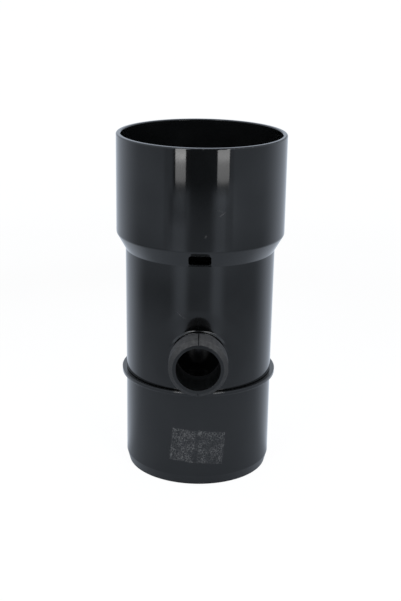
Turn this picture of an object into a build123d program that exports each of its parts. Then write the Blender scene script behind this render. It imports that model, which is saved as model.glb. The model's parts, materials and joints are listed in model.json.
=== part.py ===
from build123d import *
import os
from math import atan2, radians, tan

# A downpipe rain diverter made of two bonded mouldings, in millimetres.
# Height zero is the underside of the flange, where it sits on the end of the lower pipe.
# +Z is up the pipe and the spout points along -Y.

# Downpipe that the fitting joins
pipe_diameter = 110.0
pipe_wall = 2.2

# Wall of socket, shoulder, tube and spigot
wall = 3.2

# Socket for the end of the upper pipe
socket_slack = 0.8
socket_length = 68.7
rim_round = 1.0
mouth_chamfer = 0.6

# Conical shoulder under the socket, with its slot
shoulder_height = 11.4
shoulder_round = 3.0
slot_width = 15.0
slot_height = 7.4
slot_corner = 1.8
slot_drop = 1.0

# Tube between shoulder and flange, narrowed downwards by its draft until it is flush with the spigot
tube_length = 88.85
tube_draft = 0.3
tube_end_chamfer = 0.6

# Spigot that hangs in the lower pipe, and the flange that seats on the pipe's end
spigot_slack = 2.2
spigot_length = 68.4
foot_narrowing = 1.85
foot_height = 6.9
flange_setback = 0.25
flange_thickness = 2.5

# Hose spout with its barb
spout_rise = 24.9
spout_reach = 23.05
spout_bore_diameter = 30.0
spout_neck_wall = 2.3
spout_tip_wall = 2.1
spout_root_round = 1.4
barb_length = 15.0
barb_nose = 3.0
barb_step = 2.7
seam_width = 0.6
seam_depth = 0.3

# Catch trough inside: collar, floor and overflow tube
collar_clearance = 0.1
collar_wall = 2.2
trough_margin = 1.0
trough_floor = 2.4
trough_width = 12.5
overflow_wall = 2.2
overflow_freeboard = 9.0

# How far a cutter runs out past the surface that it opens
cut_past = 1.0

# Radii worked out from the sizes above
pipe_radius = pipe_diameter / 2
socket_bore_radius = pipe_radius + socket_slack / 2
socket_radius = socket_bore_radius + wall
spigot_radius = pipe_radius - pipe_wall - spigot_slack / 2
spigot_bore_radius = spigot_radius - wall
flange_radius = pipe_radius - flange_setback
tube_end_radius = spigot_radius
tube_top_radius = tube_end_radius + tube_length * tan(radians(tube_draft))
collar_radius = tube_end_radius - wall - collar_clearance
overflow_radius = collar_radius - trough_width
overflow_bore_radius = overflow_radius - overflow_wall
spout_bore_radius = spout_bore_diameter / 2
spout_neck_radius = spout_bore_radius + spout_neck_wall
spout_tip_radius = spout_bore_radius + spout_tip_wall
barb_radius = spout_neck_radius + barb_step

# Heights above the flange's underside
foot_level = -spigot_length
flange_top = flange_thickness
waist_level = flange_top + tube_length
shoulder_level = waist_level + shoulder_height
rim_level = shoulder_level + socket_length
spout_level = flange_top + spout_rise
trough_level = spout_level - spout_bore_radius - trough_margin
overflow_level = spout_level + spout_bore_radius + overflow_freeboard

# The inside of the shoulder runs parallel to its outside, so its corners lie lower
shoulder_angle = atan2(socket_radius - tube_top_radius, shoulder_height)
inner_drop = wall * tan(shoulder_angle / 2)

# Distances from the pipe's axis out to the spout's face and to both ends of the barb's full width
spout_face = tube_end_radius + spout_reach
barb_front = spout_face - barb_nose
barb_rear = spout_face - barb_length


def turned(outline, roundings=()):
    """Turn a closed outline of (radius, height) points about the Z axis, with corners rounded first."""
    face = make_face(Polyline(*outline, close=True))
    for corner, radius in roundings:
        vertex = face.vertices().sort_by_distance(Vector(*corner))[0]
        face = fillet(vertex, radius)
    return revolve(Plane.XZ * face, Axis.Z)


def upper_outside():
    """Solid bounded by the outer surfaces of socket, shoulder and tube."""
    rim = (socket_radius, rim_level)
    shoulder = (socket_radius, shoulder_level)
    outline = [
        (0, flange_top),
        (tube_end_radius - tube_end_chamfer, flange_top),
        (tube_end_radius, flange_top + tube_end_chamfer),
        (tube_top_radius, waist_level),
        shoulder,
        rim,
        (0, rim_level),
    ]
    return turned(outline, [(rim, rim_round), (shoulder, shoulder_round)])


def upper_inside():
    """Solid that fills the bore of socket, shoulder and tube, and runs out past both ends."""
    slope = tan(radians(tube_draft))
    outline = [
        (0, flange_top - cut_past),
        (tube_end_radius - wall - cut_past * slope, flange_top - cut_past),
        (tube_top_radius - wall, waist_level - inner_drop),
        (socket_bore_radius, shoulder_level - inner_drop),
        (socket_bore_radius, rim_level - mouth_chamfer),
        (socket_bore_radius + mouth_chamfer, rim_level),
        (socket_bore_radius + mouth_chamfer, rim_level + cut_past),
        (0, rim_level + cut_past),
    ]
    return turned(outline)


def spout_blank():
    """Spout turned about its own axis from the pipe's axis outwards, before its bore is cut."""
    outline = [
        (0, 0),
        (spout_neck_radius, 0),
        (spout_neck_radius, barb_rear),
        (barb_radius, barb_rear),
        (barb_radius, barb_front),
        (spout_tip_radius, spout_face),
        (0, spout_face),
    ]
    return Pos(0, 0, spout_level) * Rot(90, 0, 0) * turned(outline)


def seam_cutter():
    """Pair of thin plates that leave the mould's parting line as a groove above and below the barb."""
    outline = [
        (-barb_rear, barb_radius - seam_depth),
        (-barb_front, barb_radius - seam_depth),
        (-spout_face, spout_tip_radius - seam_depth),
        (-spout_face - cut_past, spout_tip_radius - seam_depth),
        (-spout_face - cut_past, barb_radius + cut_past),
        (-barb_rear, barb_radius + cut_past),
    ]
    plate = extrude(Plane.YZ * make_face(Polyline(*outline, close=True)), seam_width / 2, both=True)
    return Pos(0, 0, spout_level) * (plate + mirror(plate, about=Plane.XY))


def spout_bore():
    """Cylinder that opens the spout into the tube."""
    mouth = Circle(spout_bore_radius)
    return Pos(0, 0, spout_level) * extrude(Plane.XZ * mouth, spout_face + cut_past)


def slot_cutter():
    """Rounded bar that cuts the slot straight back through the front of the shoulder."""
    level = (shoulder_level + waist_level) / 2 - slot_drop
    outline = RectangleRounded(slot_width, slot_height, slot_corner)
    inside = Plane.XZ.offset(overflow_radius)
    return Pos(0, 0, level) * extrude(inside * outline, socket_radius + cut_past - overflow_radius)


def spout_root(body):
    """Edge where the spout's neck leaves the tube's outside."""
    barrels = body.faces().filter_by(GeomType.CYLINDER)
    neck = barrels.sort_by(lambda face: abs(face.radius - spout_neck_radius))[0]
    return neck.edges().sort_by(Axis.Y)[-1]


def make_upper_body():
    """Socket, shoulder, tube and spout as one moulding."""
    solid = upper_outside() + spout_blank()
    solid = fillet(spout_root(solid), spout_root_round)
    return solid - upper_inside() - spout_bore() - slot_cutter() - seam_cutter()


def make_lower_body():
    """Spigot, flange, collar, trough floor and overflow tube as one moulding."""
    floor_under = trough_level - trough_floor
    outline = [
        (spigot_bore_radius, foot_level),
        (spigot_radius - foot_narrowing, foot_level),
        (spigot_radius, foot_level + foot_height),
        (spigot_radius, 0),
        (flange_radius, 0),
        (flange_radius, flange_top),
        (collar_radius, flange_top),
        (collar_radius, trough_level),
        (overflow_radius, trough_level),
        (overflow_radius, overflow_level),
        (overflow_bore_radius, overflow_level),
        (overflow_bore_radius, floor_under),
        (collar_radius - collar_wall, floor_under),
        (collar_radius - collar_wall, flange_top - wall),
        (spigot_bore_radius, flange_top - 2 * wall),
    ]
    return turned(outline)


def main():
    """Build both mouldings and write one file for each."""
    os.makedirs("parts", exist_ok=True)
    upper_body = make_upper_body()
    lower_body = make_lower_body()
    export_step(upper_body, "parts/upper_body.step")
    export_step(lower_body, "parts/lower_body.step")
    print("overall height", round(rim_level - foot_level, 2), "socket diameter", round(2 * socket_radius, 2))
    print("tube diameters", round(2 * tube_top_radius, 2), round(2 * tube_end_radius, 2))
    print("barb diameter", round(2 * barb_radius, 2), "spout face at", round(spout_face, 2))


if __name__ == "__main__":
    main()
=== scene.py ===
"""Dresses the packed downpipe rain diverter and lights it as in the photograph.

The object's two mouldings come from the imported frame. Everything is in metres, in the
frame of the part: the pipe's axis is Z, height zero is the flange's underside and the
hose spout points along -Y.
"""

import json
import logging
import math
from dataclasses import dataclass, field
from enum import Enum

import bpy
from mathutils import Matrix, Vector


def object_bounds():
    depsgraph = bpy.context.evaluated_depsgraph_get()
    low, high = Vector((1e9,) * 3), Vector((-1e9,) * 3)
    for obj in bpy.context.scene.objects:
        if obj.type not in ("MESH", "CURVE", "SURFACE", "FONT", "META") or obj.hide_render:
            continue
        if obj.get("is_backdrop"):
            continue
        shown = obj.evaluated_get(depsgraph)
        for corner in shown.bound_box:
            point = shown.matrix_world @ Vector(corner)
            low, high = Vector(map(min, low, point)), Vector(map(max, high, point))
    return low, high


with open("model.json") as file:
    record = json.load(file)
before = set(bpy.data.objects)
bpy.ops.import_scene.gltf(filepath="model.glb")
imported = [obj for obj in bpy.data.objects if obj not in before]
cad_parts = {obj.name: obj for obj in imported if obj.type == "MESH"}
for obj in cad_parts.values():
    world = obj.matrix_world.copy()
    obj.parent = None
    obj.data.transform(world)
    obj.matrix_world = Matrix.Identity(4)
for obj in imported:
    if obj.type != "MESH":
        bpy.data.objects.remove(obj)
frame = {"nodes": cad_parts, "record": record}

LOG = logging.getLogger("rain_diverter")
MM = 0.001
NOISE_MIDDLE = 0.5

BLACK = (0.0, 0.0, 0.0)
WHITE = (1.0, 1.0, 1.0)

Socket = bpy.types.NodeSocket
Number = Socket | float
Span = tuple[float, float]
Triple = tuple[float, float, float]
Colour = Triple


class Ray(Enum):
    """Ray kinds that a stage material can tell apart."""

    CAMERA = "Is Camera Ray"
    GLOSSY = "Is Glossy Ray"
    TRANSMISSION = "Is Transmission Ray"


class NodeSheet:
    """A node tree with short ways to add nodes and sums to it."""

    def __init__(self, tree: bpy.types.NodeTree) -> None:
        """Empty a tree and keep it.

        Args:
            tree: Node tree of a material or of the world.
        """
        self.tree = tree
        self.tree.nodes.clear()

    def add(self, kind: str, **settings: object) -> bpy.types.Node:
        """Add one node.

        Args:
            kind: Blender's name of the node type.
            **settings: Properties of the node to set.

        Returns:
            The new node.
        """
        node = self.tree.nodes.new(kind)
        for name, value in settings.items():
            setattr(node, name, value)
        return node

    def join(self, source: Number | Colour, target: Socket) -> None:
        """Link a socket to another, or write a constant on it.

        Args:
            source: Output socket, number or colour.
            target: Input socket that takes it.
        """
        if isinstance(source, bpy.types.NodeSocket):
            self.tree.links.new(source, target)
        elif isinstance(source, tuple) and target.type == "RGBA":
            target.default_value = (*source, 1.0)
        else:
            target.default_value = source

    def work(self, operation: str, *values: Number, clamp: bool = False) -> Socket:
        """Work out one number from others.

        Args:
            operation: Name of the Math node's operation.
            *values: Sockets or numbers that go in.
            clamp: Whether the result is kept from 0 to 1.

        Returns:
            Socket with the result.
        """
        node = self.add("ShaderNodeMath", operation=operation, use_clamp=clamp)
        for value, target in zip(values, node.inputs):
            self.join(value, target)
        return node.outputs[0]

    def product(self, first: Number, *others: Number, clamp: bool = False) -> Socket:
        """Multiply numbers.

        Args:
            first: Socket or number.
            *others: Sockets or numbers that it is multiplied by.
            clamp: Whether the result is kept from 0 to 1.

        Returns:
            Socket with the product.
        """
        for other in others:
            first = self.work("MULTIPLY", first, other, clamp=clamp)
        return first

    def total(self, first: Number, *others: Number, clamp: bool = False) -> Socket:
        """Add numbers.

        Args:
            first: Socket or number.
            *others: Sockets or numbers that are added to it.
            clamp: Whether the result is kept from 0 to 1.

        Returns:
            Socket with the total.
        """
        for other in others:
            first = self.work("ADD", first, other, clamp=clamp)
        return first

    def minus(self, first: Number, second: Number) -> Socket:
        """Take the second number from the first."""
        return self.work("SUBTRACT", first, second)

    def blend(self, share: Number, low: Number, high: Number) -> Socket:
        """Mix two numbers.

        Args:
            share: Share of the high one, from 0 to 1.
            low: Number at share 0.
            high: Number at share 1.

        Returns:
            Socket with the mix.
        """
        node = self.add("ShaderNodeMix", data_type="FLOAT")
        self.join(share, node.inputs[0])
        self.join(low, node.inputs[2])
        self.join(high, node.inputs[3])
        return node.outputs[0]

    def tint(self, share: Number, low: Socket | Colour, high: Socket | Colour) -> Socket:
        """Mix two colours.

        Args:
            share: Share of the high one, from 0 to 1.
            low: Colour at share 0.
            high: Colour at share 1.

        Returns:
            Socket with the mixed colour.
        """
        node = self.add("ShaderNodeMix", data_type="RGBA")
        self.join(share, node.inputs[0])
        self.join(low, node.inputs[6])
        self.join(high, node.inputs[7])
        return node.outputs[2]

    def ramp(self, value: Number, start: float, end: float, smooth: bool = True) -> Socket:
        """Rise from 0 to 1 between two values.

        Args:
            value: Number that is looked up.
            start: Value where the share is 0.
            end: Value where it is 1, above or below the start.
            smooth: Whether the rise is eased at both ends.

        Returns:
            Socket with the share.
        """
        kind = "SMOOTHSTEP" if smooth else "LINEAR"
        node = self.add("ShaderNodeMapRange", interpolation_type=kind)
        low, high = (0.0, 1.0) if start < end else (1.0, 0.0)
        for entry, target in zip((value, min(start, end), max(start, end), low, high), node.inputs):
            self.join(entry, target)
        return node.outputs[0]

    def noise(self, place: Socket, scale: float, detail: float = 2.0, rough: float = 0.5) -> Socket:
        """Sample a noise pattern.

        Args:
            place: Socket with the coordinates.
            scale: Repeats to the metre.
            detail: Octaves of finer noise.
            rough: Strength of the finer octaves.

        Returns:
            Socket with the value, near 0.5 on the whole.
        """
        node = self.add("ShaderNodeTexNoise")
        self.join(place, node.inputs["Vector"])
        node.inputs["Scale"].default_value = scale
        node.inputs["Detail"].default_value = detail
        node.inputs["Roughness"].default_value = rough
        return node.outputs["Fac"]

    def parts(self, place: Socket) -> tuple[Socket, Socket, Socket]:
        """Take coordinates apart.

        Args:
            place: Socket with the coordinates.

        Returns:
            Sockets with x, y and z.
        """
        node = self.add("ShaderNodeSeparateXYZ")
        self.join(place, node.inputs[0])
        return tuple(node.outputs)

    def radius(self, first: Socket, second: Socket) -> Socket:
        """Work out the distance from an axis.

        Args:
            first: Socket with the distance along one direction.
            second: Socket with the distance along the other.

        Returns:
            Socket with the distance.
        """
        squares = [self.product(leg, leg) for leg in (first, second)]
        return self.work("SQRT", self.total(*squares))

    def turned(self, place: Socket, middle: Span, tilt_deg: float) -> Socket:
        """Move and tilt coordinates in the plane that faces the front.

        Args:
            place: Socket with the coordinates.
            middle: New origin, as x and z.
            tilt_deg: Turn about the Y axis.

        Returns:
            Socket with the new coordinates.
        """
        node = self.add("ShaderNodeMapping", vector_type="TEXTURE")
        self.join(place, node.inputs["Vector"])
        node.inputs["Location"].default_value = (middle[0], 0.0, middle[1])
        node.inputs["Rotation"].default_value = (0.0, math.radians(tilt_deg), 0.0)
        return node.outputs[0]

    def stretched(self, place: Socket, scale: Triple) -> Socket:
        """Scale coordinates by axis.

        Args:
            place: Socket with the coordinates.
            scale: Factor on each axis.

        Returns:
            Socket with the scaled coordinates.
        """
        node = self.add("ShaderNodeMapping")
        self.join(place, node.inputs["Vector"])
        node.inputs["Scale"].default_value = scale
        return node.outputs[0]

    def close(self, shader: Socket, kind: str = "ShaderNodeOutputMaterial") -> None:
        """Send a shader to the tree's output.

        Args:
            shader: Output socket of the shader.
            kind: Blender's name of the output node.
        """
        self.join(shader, self.add(kind).inputs["Surface"])


def new_material(name: str) -> tuple[bpy.types.Material, NodeSheet]:
    """Start a material.

    Args:
        name: Name of the material.

    Returns:
        The material and its empty node tree.
    """
    material = bpy.data.materials.new(name)
    material.use_nodes = True
    return material, NodeSheet(material.node_tree)


def placed(name: str, data: bpy.types.ID) -> bpy.types.Object:
    """Put a new object in the scene.

    Args:
        name: Name of the object.
        data: Its mesh, light or camera.

    Returns:
        The object.
    """
    thing = bpy.data.objects.new(name, data)
    bpy.context.scene.collection.objects.link(thing)
    return thing


def flat_panel(
    name: str, corners: list[Vector | Triple], material: bpy.types.Material
) -> bpy.types.Object:
    """Build a flat panel.

    Args:
        name: Name of the object.
        corners: Its four corners, in order round it.
        material: Its finish.

    Returns:
        The object.
    """
    mesh = bpy.data.meshes.new(name)
    mesh.from_pydata(corners, [], [(0, 1, 2, 3)])
    mesh.materials.append(material)
    return placed(name, mesh)


def toward(azimuth_deg: float) -> Vector:
    """Find the level direction from the object, at an angle round it from the front.

    Args:
        azimuth_deg: Angle, to the right as seen from the front.

    Returns:
        Vector of length 1.
    """
    angle = math.radians(azimuth_deg)
    return Vector((math.sin(angle), -math.cos(angle), 0.0))


@dataclass(frozen=True)
class Pattern:
    """A noise pattern of a finish: its repeats to the metre, octaves, and values that bound it."""

    scale: float
    detail: float
    rough: float = 0.5
    limits: Span = (0.0, 1.0)

    def value(self, sheet: NodeSheet, place: Socket) -> Socket:
        """Sample the pattern as it is, near NOISE_MIDDLE on the whole."""
        return sheet.noise(place, self.scale, self.detail, self.rough)

    def share(self, sheet: NodeSheet, place: Socket) -> Socket:
        """Sample the pattern as a share, 0 under its limits and 1 over them."""
        return sheet.ramp(self.value(sheet, place), *self.limits)


@dataclass(frozen=True)
class SpoutZone:
    """Where the hose spout lies, for finishes that change on its barb and in its bore.

    Attributes:
        axis_height: Height of the spout's axis.
        barb_rear: Distance of the barb's rear from the pipe's axis.
        length: Length of the whole barb.
        straight_share: Share of it that is straight.
        bore_start: Distance from the pipe's axis where the bore's own finish begins.
        top_light_heights: Heights over the axis between which the barb grows paler with painted
            light from above.
        nose_share: How much of the painted top light the nose gets beside the straight length.
        root_outer, root_inner: Foot and top of the rise at the spout's root.
        root_squeeze: How much narrower the rise's circle is taken across.
        root_fade: Heights over the axis between which the rise comes in.
        groove: Radii between which the rise falls away again.
        sink: Radii between which the wall sinks towards the spout.
        shade_start, shade_side: Limits of the painted shade over the spout.
    """

    axis_height: float
    barb_rear: float
    length: float
    straight_share: float = 0.8
    bore_radius: float = 15.0 * MM
    tip_radius: float = 17.1 * MM
    bore_start: float = 46.0 * MM
    edge: float = 0.15 * MM
    seam_half: float = 0.65 * MM
    seam_depth: float = 0.45 * MM
    top_light_heights: Span = (4.0 * MM, 17.0 * MM)
    nose_length: float = 1.2 * MM
    nose_share: float = 0.55
    nose_fade: float = 1.0 * MM
    root_outer: float = 19.6 * MM
    root_inner: float = 17.2 * MM
    root_squeeze: float = 0.92
    shade_start: Span = (35.0 * MM, 24.0 * MM)
    shade_side: Span = (12.0 * MM, 6.0 * MM)
    root_height: float = 1.50 * MM
    root_fade: Span = (2.0 * MM, 14.0 * MM)
    groove: Span = (18.9 * MM, 17.5 * MM)
    sink: Span = (34.0 * MM, 22.0 * MM)
    sink_depth: float = 0.32 * MM

    @classmethod
    def from_mount(cls, mount: dict) -> "SpoutZone":
        """Place the zone by the record's mount for the hose.

        Args:
            mount: The mount, whose length is the barb's straight length.

        Returns:
            The zone.
        """
        middle = -mount["pos_m"][1]
        straight = mount["dims"]["length_mm"] * MM
        return cls(
            axis_height=mount["pos_m"][2],
            barb_rear=middle - straight / 2,
            length=straight / cls.straight_share,
        )

    def _around(self, sheet: NodeSheet, place: Socket) -> tuple[Socket, ...]:
        """Measure from the spout's axis.

        Args:
            sheet: Node tree of the material.
            place: Socket with the object's coordinates.

        Returns:
            Sockets with x, y, the height over the axis and the distance from it.
        """
        x, y, z = sheet.parts(place)
        up = sheet.minus(z, self.axis_height)
        return x, y, up, sheet.radius(x, up)

    def _front(self, sheet: NodeSheet, y: Socket) -> Socket:
        """Mark the front of the pipe, which the spout stands on."""
        return sheet.ramp(y, 0.0, -self.bore_start / 2)

    def masks(self, sheet: NodeSheet, place: Socket) -> tuple[Socket, Socket]:
        """Mark the barb's grained outside and the spout's bore.

        Args:
            sheet: Node tree of the material.
            place: Socket with the object's coordinates.

        Returns:
            Sockets that are 1 on the barb and 1 in the bore.
        """
        _, y, _, off_axis = self._around(sheet, place)
        forward = sheet.ramp(y, -self.barb_rear + self.edge, -self.barb_rear - self.edge)
        outside = sheet.ramp(off_axis, self.tip_radius, self.tip_radius + self.edge)
        ahead = sheet.ramp(y, -self.bore_start + self.edge, -self.bore_start)
        rim = self.bore_radius + self.edge
        within = sheet.ramp(off_axis, rim, rim - self.edge / 2)
        return sheet.product(forward, outside), sheet.product(ahead, within)

    def seam(self, sheet: NodeSheet, place: Socket) -> Socket:
        """Mark the mould's seam over the top and bottom of the barb.

        Args:
            sheet: Node tree of the material.
            place: Socket with the object's coordinates.

        Returns:
            Socket that rises to 1 in the middle of the seam.
        """
        across = sheet.work("ABSOLUTE", sheet.parts(place)[0])
        return sheet.ramp(across, self.seam_half, 0.0)

    def top(self, sheet: NodeSheet, place: Socket) -> Socket:
        """Mark the top of the spout, which is painted paler, as if lit from above.

        Args:
            sheet: Node tree of the material.
            place: Socket with the object's coordinates.

        Returns:
            Socket that rises to 1 towards the top.
        """
        _, y, up, _ = self._around(sheet, place)
        nose = -self.barb_rear - self.length * self.straight_share
        ahead = sheet.ramp(y, nose + self.nose_fade, nose - self.nose_fade)
        return sheet.product(
            sheet.ramp(up, *self.top_light_heights), sheet.blend(ahead, 1.0, self.nose_share)
        )

    def soft_edge(
        self, sheet: NodeSheet, place: Socket, barb: Socket, plain: Socket, wide: float
    ) -> Socket:
        """Widen the rounding of edges on the barb, but not at the spout's mouth.

        Args:
            sheet: Node tree of the material.
            place: Socket with the object's coordinates.
            barb: Mask of the barb.
            plain: Rounding elsewhere.
            wide: Rounding on the barb.

        Returns:
            Socket with the rounding.
        """
        mouth = -self.barb_rear - self.length + self.nose_length
        behind = sheet.ramp(sheet.parts(place)[1], mouth, mouth + self.nose_length)
        return sheet.blend(sheet.product(barb, behind), plain, wide)

    def surround(self, sheet: NodeSheet, place: Socket) -> Socket:
        """Mark the wall close round the spout, which is a little duller.

        Args:
            sheet: Node tree of the material.
            place: Socket with the object's coordinates.

        Returns:
            Socket that rises to 1 towards the spout.
        """
        _, y, _, off_axis = self._around(sheet, place)
        return sheet.product(sheet.ramp(off_axis, *self.sink), self._front(sheet, y))

    def shade(self, sheet: NodeSheet, place: Socket) -> Socket:
        """Mark the wall just above the spout, where the barb keeps the light off.

        Args:
            sheet: Node tree of the material.
            place: Socket with the object's coordinates.

        Returns:
            Socket that rises to 1 over the spout's root.
        """
        x, y, up, off_axis = self._around(sheet, place)
        close = sheet.ramp(off_axis, *self.shade_start)
        middle = sheet.ramp(sheet.work("ABSOLUTE", x), *self.shade_side)
        above = sheet.ramp(up, *self.root_fade)
        return sheet.product(close, middle, above, self._front(sheet, y))

    def root(self, sheet: NodeSheet, place: Socket) -> Socket:
        """Work out the rise of the wall round the spout's root.

        Args:
            sheet: Node tree of the material.
            place: Socket with the object's coordinates.

        Returns:
            Socket with the height in metres.
        """
        x, y, up, off_axis = self._around(sheet, place)
        squeezed = sheet.radius(sheet.product(x, self.root_squeeze), up)
        rise = sheet.ramp(squeezed, self.root_outer, self.root_inner)
        ridge = sheet.minus(rise, sheet.ramp(off_axis, *self.groove))
        upper = sheet.product(sheet.ramp(up, *self.root_fade), self.root_height)
        sink = sheet.product(sheet.ramp(off_axis, *self.sink), self.sink_depth)
        height = sheet.minus(sheet.product(ridge, upper), sink)
        behind = sheet.ramp(y, -self.barb_rear, -self.barb_rear + self.edge)
        return sheet.product(height, self._front(sheet, y), behind)


@dataclass(frozen=True)
class FlangeZone:
    """Where the flange's rim lies, whose edges are rounder than the rest."""

    inner_radius: float = 52.7 * MM
    top: float = 4.0 * MM
    edge: float = 0.5 * MM

    def mask(self, sheet: NodeSheet, place: Socket) -> Socket:
        """Mark the flange's rim.

        Args:
            sheet: Node tree of the material.
            place: Socket with the object's coordinates.

        Returns:
            Socket that is 1 on the rim and 0 elsewhere.
        """
        x, y, z = sheet.parts(place)
        far_out = sheet.ramp(sheet.radius(x, y), self.inner_radius, self.inner_radius + self.edge)
        return sheet.product(far_out, sheet.ramp(z, self.top + self.edge, self.top))


@dataclass(frozen=True)
class Scuff:
    """One pale scratch or rub on the front of the part."""

    place: Span
    length: float
    width: float
    tilt_deg: float
    strength: float
    core: Span = (0.25, 0.125)
    broken: Pattern = Pattern(900.0, 3.0, 0.6, (0.35, 0.62))

    def mask(self, sheet: NodeSheet, place: Socket) -> Socket:
        """Mark the scuff.

        Args:
            sheet: Node tree of the material.
            place: Socket with the object's coordinates.

        Returns:
            Socket that is up to the strength on the scuff and 0 elsewhere.
        """
        across, depth, up = sheet.parts(sheet.turned(place, self.place, self.tilt_deg))
        broken = self.broken.share(sheet, place)
        along = self._fade(sheet, up, self.length, self.core[0])
        beside = self._fade(sheet, across, self.width, self.core[1])
        front = sheet.ramp(depth, 0.0, -self.length)
        return sheet.product(along, beside, broken, front, self.strength)

    def _fade(self, sheet: NodeSheet, offset: Socket, size: float, core: float) -> Socket:
        """Fall from 1 to 0 towards the scuff's edge.

        Args:
            sheet: Node tree of the material.
            offset: Socket with the distance from the middle line.
            size: The scuff's whole size that way.
            core: Share of the size, out from the middle, that stays at 1.

        Returns:
            Socket with the share.
        """
        return sheet.ramp(sheet.work("ABSOLUTE", offset), size / 2, size * core)


@dataclass(frozen=True)
class LabelMark:
    """Speckled glue that a lost label left on the front of the spigot."""

    width: float = 37.5 * MM
    height: float = 25.0 * MM
    middle: Span = (0.2 * MM, -39.3 * MM)
    tilt_deg: float = 4.5
    soft_edge: float = 0.8 * MM
    wander: float = 1.4 * MM
    gap_place: float = -0.5 * MM
    gap_width: float = 1.8 * MM
    gap_share: float = 0.35
    rags: Pattern = Pattern(260.0, 3.0)
    flecks: Pattern = Pattern(1150.0, 4.0, 0.7, (0.42, 0.66))
    patches: Pattern = Pattern(190.0, 2.0, 0.5, (0.30, 0.62))
    patch_share: float = 0.35
    thin_side: Span = (8.0 * MM, -6.0 * MM)
    thin_share: float = 0.75

    def mask(self, sheet: NodeSheet, place: Socket) -> Socket:
        """Mark the glue's speckles.

        Args:
            sheet: Node tree of the material.
            place: Socket with the object's coordinates.

        Returns:
            Socket that is up to 1 on the glue and 0 elsewhere.
        """
        across, depth, up = sheet.parts(sheet.turned(place, self.middle, self.tilt_deg))
        rags = self.rags.value(sheet, place)
        ragged = sheet.product(sheet.minus(rags, NOISE_MIDDLE), self.wander)
        side = self._fade(sheet, across, ragged, self.width / 2)
        level = self._fade(sheet, up, ragged, self.height / 2)
        front = sheet.ramp(depth, 0.0, -self.width)
        gap = sheet.work("ABSOLUTE", sheet.minus(across, self.gap_place))
        kept = sheet.ramp(sheet.total(gap, ragged), self.gap_width / 2, self.gap_width)
        whole = sheet.product(side, level, front, sheet.blend(kept, self.gap_share, 1.0))
        return sheet.product(whole, self._speckle(sheet, place))

    def _fade(self, sheet: NodeSheet, offset: Socket, ragged: Socket, half: float) -> Socket:
        """Fall from 1 to 0 at the label's ragged edge.

        Args:
            sheet: Node tree of the material.
            offset: Socket with the distance from the middle line.
            ragged: Socket with how far the edge wanders in.
            half: Half of the label's side.

        Returns:
            Socket with the share.
        """
        distance = sheet.total(sheet.work("ABSOLUTE", offset), ragged)
        return sheet.ramp(distance, half, half - self.soft_edge)

    def _speckle(self, sheet: NodeSheet, place: Socket) -> Socket:
        """Break the glue into fine flecks and thin patches.

        Args:
            sheet: Node tree of the material.
            place: Socket with the object's coordinates.

        Returns:
            Socket with the glue's cover, from 0 to 1.
        """
        patches = self.patches.share(sheet, place)
        thinner = sheet.ramp(sheet.parts(place)[0], *self.thin_side)
        return sheet.product(
            self.flecks.share(sheet, place),
            sheet.blend(patches, self.patch_share, 1.0),
            sheet.blend(thinner, self.thin_share, 1.0),
        )


# Across and up from the frame's origin, length and width in mm, tilt in degrees, strength
SCUFFS = tuple(
    Scuff((across * MM, up * MM), length * MM, width * MM, tilt_deg, strength)
    for across, up, length, width, tilt_deg, strength in (
        (-13.4, 57.6, 5.0, 0.8, -48.0, 0.40),
        (-10.2, 55.4, 4.5, 0.8, -62.0, 0.35),
        (14.2, 128.2, 6.0, 1.0, 52.0, 0.20),
        (12.8, 130.6, 5.0, 0.9, -70.0, 0.16),
        (3.5, 113.4, 2.6, 2.2, 0.0, 0.40),
        (1.6, -28.6, 5.0, 4.4, 20.0, 0.75),
    )
)


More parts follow.
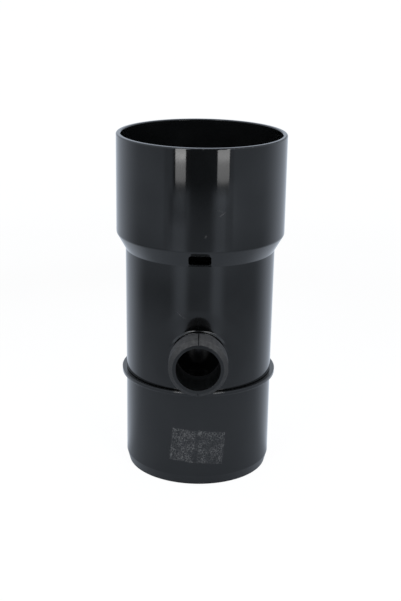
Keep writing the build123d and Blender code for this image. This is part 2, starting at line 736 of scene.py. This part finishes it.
@dataclass(frozen=True)
class GlossPvc:
    """Glossy black moulded PVC, with the slight unevenness of a moulded wall.

    Attributes:
        bore_roughness: Roughness near the bore's mouth and deep inside.
        root_roughness: Roughness that the wall gains towards the spout.
        edge_round, flange_round, barb_round: Rounding of edges, by place.
        mottle_share: Share of the worn colour where the mottle is strongest.
        speck_range: Factor on the barb's painted top light between its specks and on them.
        cloud_roughness: How far the wall's roughness wanders.
        bore_fade: Depths past the spout's bore_start between which the roughness changes.
        ripple_stretch: Factor on each axis, so that the waves run up the pipe.
        glue_grain: Share of the barb's grain that the glue has.
    """

    spout: SpoutZone
    flange: FlangeZone = field(default_factory=FlangeZone)
    label: LabelMark = field(default_factory=LabelMark)
    scuffs: tuple[Scuff, ...] = SCUFFS
    colour: Colour = (0.0042, 0.0047, 0.0051)
    worn_colour: Colour = (0.0098, 0.0108, 0.0114)
    grain_colour: Colour = (0.0200, 0.0204, 0.0212)
    # Painted light: the colour of the barb's top, paler as if lit from above
    top_light_colour: Colour = (0.0545, 0.0550, 0.0565)
    glue_colour: Colour = (0.103, 0.104, 0.106)
    shaded_colour: Colour = (0.0010, 0.0011, 0.0012)
    skin_roughness: float = 0.06
    barb_roughness: float = 0.80
    bore_roughness: Span = (0.33, 0.60)
    root_roughness: float = 0.09
    edge_round: float = 0.25 * MM
    flange_round: float = 1.20 * MM
    barb_round: float = 2.0 * MM
    ripple_height: float = 0.010 * MM
    grain_height: float = 0.090 * MM
    round_samples: int = 6
    ior: float = 1.5
    mottle: Pattern = Pattern(45.0, 4.0, 0.6, (0.35, 0.75))
    mottle_share: float = 0.35
    specks: Pattern = Pattern(430.0, 3.0, 0.6, (0.34, 0.66))
    speck_range: Span = (0.35, 1.45)
    clouds: Pattern = Pattern(60.0, 3.0)
    cloud_roughness: float = 0.05
    bore_fade: Span = (11.0 * MM, 4.0 * MM)
    ripple: Pattern = Pattern(38.0, 1.0)
    ripple_stretch: Triple = (1.0, 1.0, 0.35)
    grain: Pattern = Pattern(900.0, 3.0, 0.65)
    glue_grain: float = 0.5

    def make(self, name: str) -> bpy.types.Material:
        """Build the material.

        Args:
            name: Name of the material.

        Returns:
            The new material.
        """
        material, sheet = new_material(name)
        place = sheet.add("ShaderNodeTexCoord").outputs["Object"]
        barb, bore = self.spout.masks(sheet, place)
        seam = sheet.product(barb, self.spout.seam(sheet, place))
        grained = sheet.minus(barb, seam)
        glue = self._marks(sheet, place)
        shader = sheet.add("ShaderNodeBsdfPrincipled")
        sheet.join(self._colour(sheet, place, grained, glue), shader.inputs["Base Color"])
        dull = sheet.work("MAXIMUM", grained, glue)
        sheet.join(self._roughness(sheet, place, dull, bore), shader.inputs["Roughness"])
        masks = (barb, grained, seam, glue)
        sheet.join(self._relief(sheet, place, masks), shader.inputs["Normal"])
        shader.inputs["IOR"].default_value = self.ior
        sheet.close(shader.outputs[0])
        return material

    def _marks(self, sheet: NodeSheet, place: Socket) -> Socket:
        """Gather the glue and the scuffs in one mask.

        Args:
            sheet: Node tree of the material.
            place: Socket with the object's coordinates.

        Returns:
            Socket that is up to 1 on the marks and 0 elsewhere.
        """
        marks = self.label.mask(sheet, place)
        for scuff in self.scuffs:
            marks = sheet.work("MAXIMUM", marks, scuff.mask(sheet, place))
        return marks

    def _colour(self, sheet: NodeSheet, place: Socket, grained: Socket, glue: Socket) -> Socket:
        """Mottle the black, darken the wall over the spout with painted shade, pale the barb's
        grain, lighten its top with painted light and whiten it under the glue.

        Args:
            sheet: Node tree of the material.
            place: Socket with the object's coordinates.
            grained: Mask of the barb's grain.
            glue: Mask of the glue.

        Returns:
            Socket with the colour.
        """
        mottle = sheet.product(self.mottle.share(sheet, place), self.mottle_share)
        plastic = sheet.tint(mottle, self.colour, self.worn_colour)
        # Painted shade: the wall just above the spout is darkened where the barb keeps the light
        # off
        plastic = sheet.tint(self.spout.shade(sheet, place), plastic, self.shaded_colour)
        specks = sheet.blend(self.specks.share(sheet, place), *self.speck_range)
        # Painted light: the barb's top grows paler towards the top, as if lit from above, broken up
        # by specks
        pale = sheet.product(self.spout.top(sheet, place), specks, clamp=True)
        barb = sheet.tint(pale, self.grain_colour, self.top_light_colour)
        return sheet.tint(glue, sheet.tint(grained, plastic, barb), self.glue_colour)

    def _roughness(self, sheet: NodeSheet, place: Socket, dull: Socket, bore: Socket) -> Socket:
        """Vary the gloss over the wall, and dull the barb, the marks and the bore.

        Args:
            sheet: Node tree of the material.
            place: Socket with the object's coordinates.
            dull: Mask of the barb and the marks.
            bore: Mask of the spout's bore.

        Returns:
            Socket with the roughness.
        """
        cloudy = sheet.minus(self.clouds.value(sheet, place), NOISE_MIDDLE)
        wall = sheet.total(
            sheet.product(cloudy, self.cloud_roughness),
            self.skin_roughness,
            sheet.product(self.spout.surround(sheet, place), self.root_roughness),
        )
        near, far = (-self.spout.bore_start - fade for fade in self.bore_fade)
        deep = sheet.ramp(sheet.parts(place)[1], near, far)
        within = sheet.blend(deep, *self.bore_roughness)
        return sheet.blend(bore, sheet.blend(dull, wall, self.barb_roughness), within)

    def _relief(self, sheet: NodeSheet, place: Socket, masks: tuple[Socket, ...]) -> Socket:
        """Round the edges, wave the walls, grain the barb, cut its seam and raise the spout's root.

        Args:
            sheet: Node tree of the material.
            place: Socket with the object's coordinates.
            masks: Masks of the barb, its grain, its seam and the glue.

        Returns:
            Socket with the normal.
        """
        barb, grained, seam, glue = masks
        rounded = sheet.add("ShaderNodeBevel", samples=self.round_samples)
        plain_edge = sheet.blend(self.flange.mask(sheet, place), self.edge_round, self.flange_round)
        edge = self.spout.soft_edge(sheet, place, barb, plain_edge, self.barb_round)
        sheet.join(edge, rounded.inputs["Radius"])
        waves = self.ripple.value(sheet, sheet.stretched(place, self.ripple_stretch))
        grain = self.grain.value(sheet, place)
        rough_area = sheet.work("MAXIMUM", grained, sheet.product(glue, self.glue_grain))
        height = sheet.total(
            sheet.product(waves, self.ripple_height),
            sheet.product(grain, rough_area, self.grain_height),
        )
        cut = sheet.minus(height, sheet.product(seam, self.spout.seam_depth))
        bump = sheet.add("ShaderNodeBump")
        bump.inputs["Distance"].default_value = 1.0
        sheet.join(sheet.total(cut, self.spout.root(sheet, place)), bump.inputs["Height"])
        sheet.join(rounded.outputs[0], bump.inputs["Normal"])
        return bump.outputs[0]


@dataclass
class Diverter:
    """The rain diverter's two mouldings, as packed."""

    nodes: dict[str, bpy.types.Object]
    finish: GlossPvc

    def dress(self) -> list[bpy.types.Object]:
        """Give each moulding the finish of glossy black PVC.

        Returns:
            The mouldings.
        """
        material = self.finish.make("gloss_black_pvc")
        for node in self.nodes.values():
            for index in range(len(node.material_slots)):
                node.material_slots[index].material = material
        return list(self.nodes.values())


@dataclass(frozen=True)
class Camera:
    """The camera, placed and turned as the photograph was taken."""

    place: Triple = (0.814 * MM, -798.8 * MM, 312.6 * MM)
    pitch_deg: float = 18.127
    roll_deg: float = 0.905
    lens_mm: float = 70.68
    sensor_mm: float = 36.0

    def make(self) -> bpy.types.Object:
        """Build the camera and make it the scene's own.

        Returns:
            The camera's object.
        """
        data = bpy.data.cameras.new("photo_camera")
        data.lens = self.lens_mm
        data.sensor_width = self.sensor_mm
        camera = placed(data.name, data)
        tip = Matrix.Rotation(math.radians(90.0 - self.pitch_deg), 4, "X")
        roll = Matrix.Rotation(math.radians(self.roll_deg), 4, "Z")
        camera.matrix_world = Matrix.Translation(self.place) @ tip @ roll
        bpy.context.scene.camera = camera
        return camera


@dataclass(frozen=True)
class Softbox:
    """A tall soft light in three panels that stands on the floor in front of the object."""

    name: str
    azimuth_deg: float
    width: float
    radiance: float
    lip_radiance: float
    skirt_radiance: float = 2.7
    height: float = 1.3
    skirt_height: float = 0.035
    lip_height: float = 0.010
    distance: float = 1.04

    def make(self, floor_height: float) -> list[bpy.types.Object]:
        """Build the light with a bright lip at its foot and a dimmer skirt, facing the object.

        Args:
            floor_height: Height of the floor that it stands on.

        Returns:
            The objects of the three panels.
        """
        lip_foot = floor_height + self.skirt_height
        return [
            self._panel("skirt", self.skirt_radiance, floor_height, self.skirt_height),
            self._panel("lip", self.lip_radiance, lip_foot, self.lip_height),
            self._panel("front", self.radiance, lip_foot + self.lip_height, self.height),
        ]

    def _panel(self, part: str, radiance: float, foot: float, height: float) -> bpy.types.Object:
        """Build one upright panel of light.

        Args:
            part: Name of the panel.
            radiance: Brightness of the panel.
            foot: Height of its lower edge.
            height: Height of the panel itself.

        Returns:
            The light's object.
        """
        name = f"{self.name}_{part}"
        data = bpy.data.lights.new(name, "AREA")
        data.shape = "RECTANGLE"
        data.size = self.width
        data.size_y = height
        data.energy = radiance * math.pi * self.width * height
        light = placed(name, data)
        out = toward(self.azimuth_deg)
        light.location = out * self.distance + Vector((0.0, 0.0, foot + height / 2))
        light.rotation_euler = out.to_track_quat("Z", "Y").to_euler()
        light.visible_camera = False
        return light


@dataclass(frozen=True)
class Flag:
    """A dark card that keeps light off a strip of the object."""

    name: str
    azimuth_deg: float
    width: float
    height: float = 1.3
    distance: float = 1.00
    lift: float = 0.001
    shade: Colour = (0.035, 0.035, 0.035)

    def make(self, floor_height: float) -> bpy.types.Object:
        """Build the card, facing the object.

        Args:
            floor_height: Height of the floor that it stands on.

        Returns:
            The card's object.
        """
        out = toward(self.azimuth_deg)
        side = Vector((-out.y, out.x, 0.0)) * self.width / 2
        foot = out * self.distance + Vector((0.0, 0.0, floor_height + self.lift))
        top = Vector((0.0, 0.0, self.height))
        corners = [foot - side, foot + side, foot + top + side, foot + top - side]
        card = flat_panel(self.name, corners, self._material())
        card.visible_camera = False
        card.visible_shadow = False
        card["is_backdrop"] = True
        return card

    def _material(self) -> bpy.types.Material:
        """Build the card's matt dark finish.

        Returns:
            The new material.
        """
        material, sheet = new_material(self.name)
        cloth = sheet.add("ShaderNodeBsdfDiffuse")
        sheet.join(self.shade, cloth.inputs["Color"])
        sheet.close(cloth.outputs[0])
        return material


@dataclass(frozen=True)
class Band:
    """A soft band round one value."""

    place: float
    reach: float
    core: float
    depth: float = 1.0

    def share(self, sheet: NodeSheet, value: Socket) -> Socket:
        """Work out how far a value lies in the band.

        Args:
            sheet: Node tree of the material.
            value: Socket with the value.

        Returns:
            Socket that is the band's depth in its core and 0 outside its reach.
        """
        off = sheet.work("ABSOLUTE", sheet.minus(value, self.place))
        return sheet.product(sheet.ramp(off, self.reach, self.core), self.depth)


@dataclass(frozen=True)
class PaintedFloorTone:
    """Tone of the floor's paper by place, as the gloss mirrors it, with painted shade and painted
    light in it.

    Spans named edge, reach, start or end, and the rings, are distances from the pipe's
    axis. Spans named sector or middle compare with the cosine of the angle from the front,
    and turns, streaks and notches with its sine. A depth is how much of the white a band
    of painted shade takes away, and the lift is how much painted light comes back close
    to the object, where the gloss sees the floor as glowing white.
    """

    white: float = 0.97
    dark: float = 0.08
    front_edge: Span = (0.93, 1.02)
    front_sector: Span = (0.78, 0.83)
    lane_sector: Span = (0.925, 0.985)
    lane_reach: Span = (0.35, 1.05)
    near_tone: float = 0.87
    near_edge: Span = (0.92, 1.06)
    wide_ring: Band = Band(0.50, 0.36, 0.10, 0.30)
    narrow_ring: Band = Band(0.465, 0.12, 0.0)
    narrow_depth: Span = (0.12, 0.32)
    front_ring: Band = Band(0.90, 0.16, 0.05)
    front_depth: Span = (0.24, 0.52)
    streak_start: Span = (0.22, 0.40)
    streak_end: Span = (0.74, 0.62)
    streaks: tuple[Band, ...] = (Band(-0.46, 0.27, 0.03), Band(0.42, 0.24, 0.03))
    notch_start: Span = (0.60, 0.76)
    notches: tuple[Band, ...] = (Band(-0.665, 0.115, 0.05, 0.24), Band(0.60, 0.10, 0.04, 0.22))
    back_sector: Span = (-0.10, 0.60)
    near_reach: Span = (0.20, 0.06)
    near_lift: Span = (0.10, 0.32)
    near_sector: Span = (0.3, -0.4)
    ahead_sector: Span = (0.2, 0.5)
    narrow_turn: Span = (0.5, -0.2)
    ring_sector: Span = (0.70, 0.80)
    ring_middle: Span = (0.97, 0.94)
    ring_turn: Span = (0.2, -0.2)

    def tone(self, sheet: NodeSheet, place: Socket) -> tuple[Socket, Socket]:
        """Work out the paper's tone and the share that the gloss sees as glowing white: the back,
        and close to the object as painted light.

        Args:
            sheet: Node tree of the material.
            place: Socket with the floor's coordinates.

        Returns:
            Sockets with the tone and with the share of the back and of the painted light close to
            the object.
        """
        x, y, _ = sheet.parts(place)
        away = sheet.radius(x, y)
        facing = sheet.work("DIVIDE", y, sheet.product(away, -1.0))
        aside = sheet.work("DIVIDE", x, away)
        beyond = sheet.product(
            sheet.ramp(away, *self.front_edge), sheet.ramp(facing, *self.front_sector)
        )
        lane = sheet.product(
            sheet.ramp(facing, *self.lane_sector), sheet.ramp(away, *self.lane_reach, smooth=False)
        )
        tone = sheet.blend(sheet.work("MAXIMUM", beyond, lane), self.white, self.dark)
        for shade in self._shades(sheet, away, facing, aside):
            tone = sheet.product(tone, sheet.minus(1.0, shade))
        back = sheet.ramp(sheet.product(facing, -1.0), *self.back_sector)
        # Painted light: close to the object the gloss sees the floor's glow, as if no shadow fell
        # there
        near = sheet.ramp(away, *self.near_reach)
        lift = sheet.blend(sheet.ramp(facing, *self.near_sector), *self.near_lift)
        behind = sheet.total(back, sheet.product(near, lift), clamp=True)
        return tone, behind

    def _shades(
        self, sheet: NodeSheet, away: Socket, facing: Socket, aside: Socket
    ) -> list[Socket]:
        """Work out the rings and lanes of painted shade that grey the floor.

        Args:
            sheet: Node tree of the material.
            away: Distance from the pipe's axis.
            facing: Cosine of the angle from the front.
            aside: Sine of the angle from the front.

        Returns:
            Sockets with the share that each takes away.
        """
        ahead = sheet.ramp(facing, *self.ahead_sector)
        plain = sheet.minus(1.0, self._streaks(sheet, away, aside, ahead))
        near = sheet.ramp(away, *reversed(self.near_edge))
        left = sheet.blend(sheet.ramp(aside, *self.narrow_turn), *self.narrow_depth)
        side = sheet.blend(sheet.ramp(aside, *self.ring_turn), *self.front_depth)
        sectors = [sheet.ramp(facing, *span) for span in (self.ring_sector, self.ring_middle)]
        far = sheet.ramp(away, *self.notch_start)
        return [
            sheet.product(near, 1.0 - self.near_tone, plain),
            sheet.product(self.wide_ring.share(sheet, away), plain),
            sheet.product(self.narrow_ring.share(sheet, away), left, plain),
            sheet.product(self.front_ring.share(sheet, away), side, *sectors),
            *(sheet.product(band.share(sheet, aside), far, ahead) for band in self.notches),
        ]

    def _streaks(self, sheet: NodeSheet, away: Socket, aside: Socket, ahead: Socket) -> Socket:
        """Work out the pale streaks that break the rings in front.

        Args:
            sheet: Node tree of the material.
            away: Distance from the pipe's axis.
            aside: Sine of the angle from the front.
            ahead: Share of the front.

        Returns:
            Socket that is up to 1 on a streak.
        """
        streak: Number = 0.0
        for band in self.streaks:
            streak = sheet.work("MAXIMUM", streak, sheet.product(band.share(sheet, aside), ahead))
        ends = [sheet.ramp(away, *span) for span in (self.streak_start, self.streak_end)]
        return sheet.product(streak, *ends)


@dataclass(frozen=True)
class Studio:
    """White floor, white surround and soft lights."""

    floor_reach: float = 6.0
    plain_white: float = 0.90
    glow: float = 1.06
    surround: float = 1.0
    fill: float = 0.62
    cool: Colour = (0.80, 0.88, 1.0)
    paper: PaintedFloorTone = field(default_factory=PaintedFloorTone)
    softboxes: tuple[Softbox, ...] = (
        Softbox("left_softbox", -26.5, 0.246, radiance=4.6, lip_radiance=8.4),
        Softbox("right_softbox", 28.3, 0.285, radiance=4.1, lip_radiance=6.0),
    )
    flags: tuple[Flag, ...] = (Flag("front_flag", 2.0, 0.61),)

    def floor(self, height: float) -> bpy.types.Object:
        """Build the floor, with a shadow that stays faint on white.

        Args:
            height: Height of the floor.

        Returns:
            The floor's object.
        """
        turns = ((-1, -1), (1, -1), (1, 1), (-1, 1))
        corners = [(x * self.floor_reach, y * self.floor_reach, height) for x, y in turns]
        floor = flat_panel("floor", corners, self._floor_material())
        floor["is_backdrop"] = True
        return floor

    def _floor_material(self) -> bpy.types.Material:
        """Build the floor's matt white, lifted to plain white for the camera.

        Returns:
            The new material.
        """
        material, sheet = new_material("white_floor")
        paper = sheet.add("ShaderNodeBsdfDiffuse")
        tone, behind = self.paper.tone(sheet, sheet.add("ShaderNodeTexCoord").outputs["Object"])
        # Painted shade: the paper's colour is darkened in rings, lanes and notches that the gloss
        # mirrors
        sheet.join(sheet.tint(tone, BLACK, self.cool), paper.inputs["Color"])
        glow = sheet.add("ShaderNodeEmission")
        path = sheet.add("ShaderNodeLightPath")
        in_view = path.outputs[Ray.CAMERA.value]
        sheet.join(sheet.tint(in_view, self.cool, WHITE), glow.inputs["Color"])
        glow.inputs["Strength"].default_value = self.glow
        # Painted light: glossy rays behind the object and close to it see the glow instead of the
        # lit paper
        mirrored = sheet.product(path.outputs[Ray.GLOSSY.value], behind)
        share = sheet.product(sheet.work("MAXIMUM", in_view, mirrored), self.plain_white)
        mix = sheet.add("ShaderNodeMixShader")
        for source, target in zip((share, paper.outputs[0], glow.outputs[0]), mix.inputs):
            sheet.join(source, target)
        sheet.close(mix.outputs[0])
        return material

    def world(self) -> bpy.types.World:
        """Build the white surround, dimmer where it only lights.

        Returns:
            The world.
        """
        world = bpy.data.worlds.new("white_surround")
        bpy.context.scene.world = world
        world.use_nodes = True
        sheet = NodeSheet(world.node_tree)
        path = sheet.add("ShaderNodeLightPath")
        seen: Number = 0.0
        for ray in Ray:
            seen = sheet.total(seen, path.outputs[ray.value], clamp=True)
        sky = sheet.add("ShaderNodeBackground")
        mirrored = path.outputs[Ray.GLOSSY.value]
        sheet.join(sheet.tint(mirrored, WHITE, self.cool), sky.inputs["Color"])
        sheet.join(sheet.blend(seen, self.fill, self.surround), sky.inputs["Strength"])
        sheet.close(sky.outputs[0], "ShaderNodeOutputWorld")
        return world

    def make(self, floor_height: float) -> None:
        """Build the whole studio.

        Args:
            floor_height: Height of the floor.
        """
        self.floor(floor_height)
        self.world()
        for item in (*self.softboxes, *self.flags):
            item.make(floor_height)


def mount_named(name: str) -> dict:
    """Find a mount of the part's record.

    Args:
        name: Name of the mount.

    Returns:
        The mount.
    """
    return next(mount for mount in frame["record"]["mounts"] if mount["name"] == name)


def clear_stock_objects() -> None:
    """Take away the cube, light and camera that a new file starts with."""
    for name in ("Cube", "Light", "Camera"):
        stock = bpy.data.objects.get(name)
        if stock is not None:
            bpy.data.objects.remove(stock)


def plain(box: tuple[Vector, Vector]) -> list[list[float]]:
    """Write a box as plain lists.

    Args:
        box: Lowest and highest corner.

    Returns:
        The two corners as lists of numbers.
    """
    return [list(corner) for corner in box]


def main() -> None:
    """Build the camera, the diverter and the studio."""
    clear_stock_objects()
    cad_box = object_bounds()
    Camera().make()
    spout = SpoutZone.from_mount(mount_named("hose_barb"))
    for moulding in Diverter(frame["nodes"], GlossPvc(spout)).dress():
        LOG.info("dressed %s", moulding.name)
    Studio().make(floor_height=cad_box[0].z)
    scene = bpy.context.scene
    scene.view_settings.view_transform = "Standard"
    LOG.info("studio ready")


if __name__ == "__main__":
    logging.basicConfig(level=logging.INFO)
    main()
